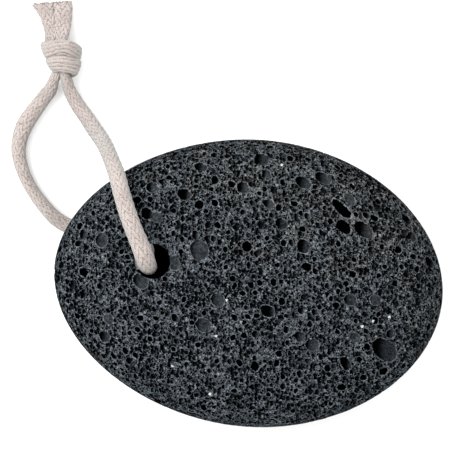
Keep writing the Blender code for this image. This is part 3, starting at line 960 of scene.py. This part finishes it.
def cord_mesh():
    """A closed tube round the whole line, with the braid raised on it, a UV map along it and frayed ends."""
    rows, travelled = smooth_route(cord_rows(), CORD_STEP)
    centres = rows[:, :3]
    ahead, sides, ups = cord_frames(centres, travelled)
    flats = unit(rows[:, 5:8] - ahead * (rows[:, 5:8] * ahead).sum(axis=1)[:, None])
    acrosses = np.cross(ahead, flats)
    turns = np.linspace(0, 2 * math.pi, CORD_SIDES, endpoint=False)
    bm = bmesh.new()
    texture = bm.loops.layers.uv.new("along_cord")
    bm.verts.layers.float.new("tight")
    rings = []
    for row, side, up, flat, across, place in zip(rows, sides, ups, flats, acrosses, travelled):
        round_ways = np.cos(turns)[:, None] * side + np.sin(turns)[:, None] * up
        wide, deep = round_ways @ across, round_ways @ flat
        ways = wide[:, None] * across * row[3] / 2 + deep[:, None] * flat * row[4] / 2
        tight, square = np.clip(row[8:], 0, 1)
        height = braid_height(turns, place) * (1 - tight) + tight_height(turns, place) * tight
        sizes = pressed(wide, deep, square) + (height - 1) * BRAID_RELIEF / (row[4] / 2)
        rings.append(add_ring(bm, row[:3], ways, sizes, tight))
    add_wall(bm, texture, rings, travelled)
    rng = random.Random(YARN_SEED)
    add_yarn_ends(bm, texture, rows[0], -ahead[0], rng)
    add_yarn_ends(bm, texture, rows[-1], ahead[-1], rng)
    bmesh.ops.recalc_face_normals(bm, faces=bm.faces)
    mesh = bpy.data.meshes.new("cord")
    bm.to_mesh(mesh)
    bm.free()
    return mesh, centres, travelled[-1]


# Sizes of the lumps of noise that vary the cord.
FUZZ_SIZE = 0.34 * MM
STRAY_SIZE = 1.6 * MM
WEAR_SIZE = 1.8 * MM
SPOT_SIZE = 1.1 * MM
SHADE_SIZE = 5 * MM


def braid_pattern(board, turn, along):
    """How high each strand of the braid stands across it and along it, and how high its own two yarns stand.

    Each strand passes over two and under two.
    """
    one, other = turn + along, turn - along
    quarter = (one.math("FLOOR", one) + other.math("FLOOR", other)) * 0.25
    quarter = quarter.math("FRACT", quarter)
    under = quarter.math("GREATER_THAN", quarter, 0.4)
    second = quarter.math("FRACT", quarter * 2.0)
    one, other = one.math("FRACT", one), other.math("FRACT", other)
    across = one + (other - one) * under
    length = (other + (one - other) * under + second * 2.0) * 0.5
    ridge = across.math("SINE", across * math.pi)
    hump = length.math("SINE", length * math.pi)
    yarns = abs(across.math("SINE", across * (2 * math.pi)))
    return ridge, hump, yarns


def cotton_material(cord):
    """Undyed cotton: a braid where the cord is slack, and yarns side by side in the tight knot."""
    material = bpy.data.materials.new("cotton_braid")
    material.use_nodes = True
    board = Board(material.node_tree)
    uv = board.node("ShaderNodeUVMap", {"uv_map": "along_cord"})
    parts = board.node("ShaderNodeSeparateXYZ", None, (uv,))
    place = board.node("ShaderNodeTexCoord", output="Object")
    tight = board.node("ShaderNodeAttribute", {"attribute_name": "tight"}, output="Fac")
    tight = board.ease(tight, 0.3, 0.7)
    fuzz = board.noise(place, FUZZ_SIZE, 2.0, 0.6)
    stray = board.noise(place, STRAY_SIZE, 1.0) - 0.5
    ridge, hump, yarns = braid_pattern(
        board, parts.out("X") * BRAID_STRANDS + stray * 0.5, parts.out("Y") / BRAID_LENGTH
    )
    beside = parts.out("X") * TIGHT_YARNS + parts.out("Y") / TIGHT_TWIST + stray * 0.6
    laid = abs(beside.math("SINE", beside * math.pi))

    # How deep a place is between the strands or the yarns.
    braided = (1 - board.ease(ridge, 0.0, 0.9)) * 0.45 + (1 - board.ease(yarns, 0.0, 0.6)) * 0.3
    crossing = (1 - board.ease(hump, 0.0, 0.6)) * (1 - board.ease(ridge, 0.2, 0.9))
    braided = braided + crossing * 0.6
    facing = board.node("ShaderNodeNewGeometry", output="Normal")
    facing = board.node("ShaderNodeSeparateXYZ", None, (facing,))
    # How strongly the yarns' gaps show in the tight knot: lumps of noise, and a painted shade stronger on the
    # sides that face away from the key light.
    wear_and_painted_light = board.ease(board.noise(place, WEAR_SIZE, 1.0), 0.35, 0.6) * 0.6 + 0.3
    wear_and_painted_light = wear_and_painted_light * (board.ease(facing, -0.7, 0.0) * 0.75 + 0.25)
    gap = braided + ((1 - board.ease(laid, 0.0, 0.6)) * wear_and_painted_light - braided) * tight
    gap = gap * (board.ease(fuzz, 0.35, 0.6) * 0.8 + 0.3) + board.ease(fuzz, 0.48, 0.72) * 0.75

    # Painted shade: a few darker spots deep in the gaps between strands.
    spots = board.ease(board.noise(place, SPOT_SIZE, 1.0), 0.6, 0.7) * board.ease(gap, 0.2, 0.6)
    # Painted shade: where the cord's surface turns level, its sides take the greyer flank colour.
    flank_shade = board.ease(abs(facing.out("Z")), 0.85, 0.25)
    clouds = board.noise(place, SHADE_SIZE, 2.0)
    pale = board.mix(board.ease(clouds, 0.4, 0.7) * 0.25, rgba(cord.cotton), rgba(cord.shade))
    pale = board.mix(flank_shade * 0.8, pale, rgba(cord.flank_shade))
    colour = board.mix(gap, pale, rgba(cord.shade))
    colour = board.mix(spots * 0.7, colour, rgba(cord.spots))

    # The relief, in millimetres.
    braided = ridge**0.5 * 0.14 + hump * 0.08 + yarns**0.5 * 0.05
    height = (braided + (laid**0.6 * 0.2 - braided) * tight + fuzz * 0.08) * MM
    bump = board.node("ShaderNodeBump", None, {"Strength": 0.6, "Distance": 1.0, "Height": height})
    values = {
        "Base Color": colour,
        "Roughness": 0.95,
        "Normal": bump,
        "Specular IOR Level": 0.1,
        "Sheen Weight": 0.2,
    }
    shader = board.node("ShaderNodeBsdfPrincipled", None, values)
    board.node("ShaderNodeOutputMaterial", None, (shader,))
    return material


class PUMICE_OT_cord(bpy.types.Operator):
    """Makes the braided cord, its knot and its cut ends"""

    bl_idname = "pumice.cord"
    bl_label = "Cotton cord"

    def execute(self, context):
        settings = context.scene.pumice_cord
        mesh, centres, length = cord_mesh()
        nodes = ("cord_loop", "cord_knot", "cord_tail_left", "cord_tail_right")
        cord = finished(mesh, "cotton_cord", cotton_material(settings), "cotton_cord", *nodes)
        return {"FINISHED"}


# Stage

# The camera looks straight down. Its focal length is in pixels of a picture with that long side.
CAMERA_PLACE = (-0.00733, 0.01371, 0.700)
CAMERA_ROLL = math.radians(4.905)
FOCAL_PIXELS = 2671.5
LONG_SIDE_PIXELS = 454
SENSOR = 36.0
KEY_PLACE = (-0.48, 0.22, 0.52)
KEY_SIZE = 0.50
FLOOR_SIZE = 6.0


def make_light(name, place, size, power):
    light = bpy.data.lights.new(name, "AREA")
    light.shape = "DISK"
    light.size = size
    light.energy = power
    obj = bpy.data.objects.new(name, light)
    obj.location = place
    obj.rotation_euler = Vector(place).to_track_quat("Z", "Y").to_euler()
    bpy.context.scene.collection.objects.link(obj)


class PUMICE_OT_stage(bpy.types.Operator):
    """Makes the floor, the lights and the camera"""

    bl_idname = "pumice.stage"
    bl_label = "Studio"

    def execute(self, context):
        stage = context.scene.pumice_stage
        bm = bmesh.new()
        bmesh.ops.create_grid(bm, x_segments=1, y_segments=1, size=FLOOR_SIZE / 2)
        mesh = bpy.data.meshes.new("floor")
        bm.to_mesh(mesh)
        bm.free()
        floor = bpy.data.objects.new("floor", mesh)
        context.scene.collection.objects.link(floor)
        material = bpy.data.materials.new("floor")
        material.use_nodes = True
        board = Board(material.node_tree)
        values = {"Base Color": rgba(stage.floor), "Roughness": 0.9}
        shader = board.node("ShaderNodeBsdfPrincipled", None, values)
        board.node("ShaderNodeOutputMaterial", None, (shader,))
        mesh.materials.append(material)
        world = bpy.data.worlds.new("studio")
        world.use_nodes = True
        board = Board(world.node_tree)
        values = {"Color": (1.0, 1.0, 1.0, 1.0), "Strength": stage.fill}
        sky = board.node("ShaderNodeBackground", None, values)
        board.node("ShaderNodeOutputWorld", None, (sky,))
        context.scene.world = world
        make_light("key", KEY_PLACE, KEY_SIZE, stage.key)
        camera = bpy.data.cameras.new("camera")
        camera.lens = SENSOR * FOCAL_PIXELS / LONG_SIDE_PIXELS
        camera.sensor_width = SENSOR
        camera.clip_start = 0.01
        obj = bpy.data.objects.new("camera", camera)
        obj.location = CAMERA_PLACE
        obj.rotation_euler = (0, 0, CAMERA_ROLL)
        context.scene.collection.objects.link(obj)
        context.scene.camera = obj
        context.scene.view_settings.view_transform = "Standard"
        return {"FINISHED"}


class PUMICE_PT_panel(bpy.types.Panel):
    """Lists the stone, the cord and the studio with their settings"""

    bl_idname = "PUMICE_PT_panel"
    bl_label = "Pumice stone"
    bl_space_type = "VIEW_3D"
    bl_region_type = "UI"
    bl_category = "Pumice"

    def draw(self, context):
        for operator, group in (
            ("pumice.stone", context.scene.pumice_stone),
            ("pumice.cord", context.scene.pumice_cord),
            ("pumice.stage", context.scene.pumice_stage),
        ):
            box = self.layout.box()
            for name in type(group).__annotations__:
                box.prop(group, name)
            box.operator(operator)


CLASSES = (
    StoneSettings,
    CordSettings,
    StageSettings,
    PUMICE_OT_stone,
    PUMICE_OT_cord,
    PUMICE_OT_stage,
    PUMICE_PT_panel,
)


def register():
    for cls in CLASSES:
        bpy.utils.register_class(cls)
    bpy.types.Scene.pumice_stone = bpy.props.PointerProperty(type=StoneSettings)
    bpy.types.Scene.pumice_cord = bpy.props.PointerProperty(type=CordSettings)
    bpy.types.Scene.pumice_stage = bpy.props.PointerProperty(type=StageSettings)


def unregister():
    for name in ("pumice_stone", "pumice_cord", "pumice_stage"):
        delattr(bpy.types.Scene, name)
    for cls in reversed(CLASSES):
        bpy.utils.unregister_class(cls)


def main():
    register()
    bpy.ops.pumice.stage()
    bpy.ops.pumice.cord()
    bpy.ops.pumice.stone()


if __name__ == "__main__":
    main()
